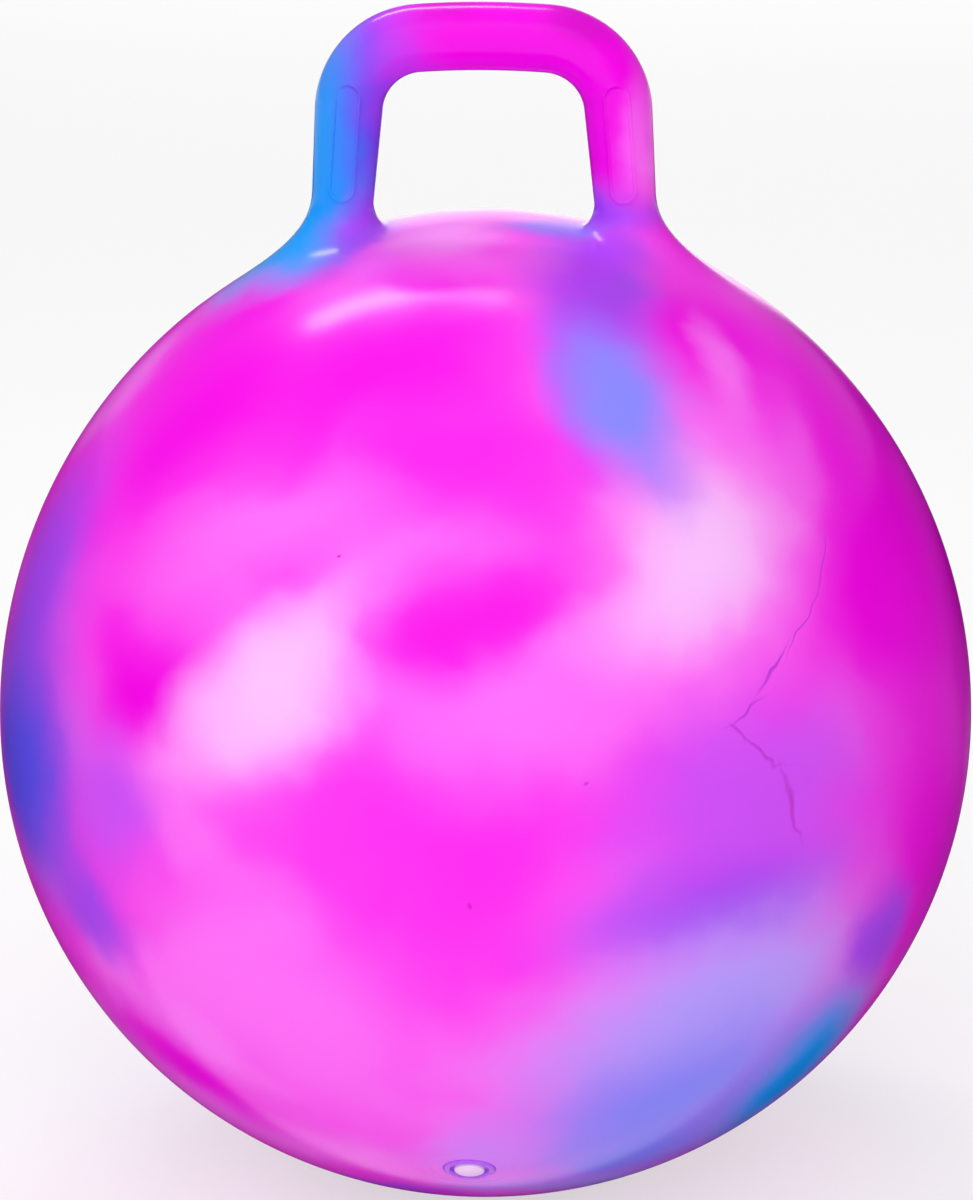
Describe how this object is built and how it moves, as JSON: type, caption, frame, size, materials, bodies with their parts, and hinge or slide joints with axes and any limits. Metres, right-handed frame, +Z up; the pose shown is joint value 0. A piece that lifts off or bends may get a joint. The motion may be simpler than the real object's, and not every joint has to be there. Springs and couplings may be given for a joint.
{
  "type": "hopper ball",
  "caption": "Air-filled marbled vinyl hopper ball that a child sits on and bounces, with a moulded D-shaped handle on its crown and a push-in air plug low on its front.",
  "frame": {"origin": "middle of the flat patch under the ball, on the floor", "axes": "+Z up through the crown and the handle, +X along the handle's grip bar, valve on the -Y side"},
  "size_m": [0.45, 0.45, 0.5539],
  "materials": {
    "marbled_vinyl": "glossy soft vinyl, cloudily marbled in magenta, pink, violet and blue",
    "valve_vinyl": "glossy soft vinyl, violet",
    "plug_plastic": "smooth white moulded plastic"
  },
  "bodies": {
    "ball": {"ball_skin": "marbled_vinyl", "handle": "marbled_vinyl", "valve_seat": "valve_vinyl"},
    "plug": {"valve_plug": "plug_plastic"}
  },
  "joints": [
    {"name": "plug_pull", "type": "slide", "parent": "ball", "child": "plug", "axis": [0, -0.6691, -0.7431], "range_m": [0, 0.021]}
  ]
}
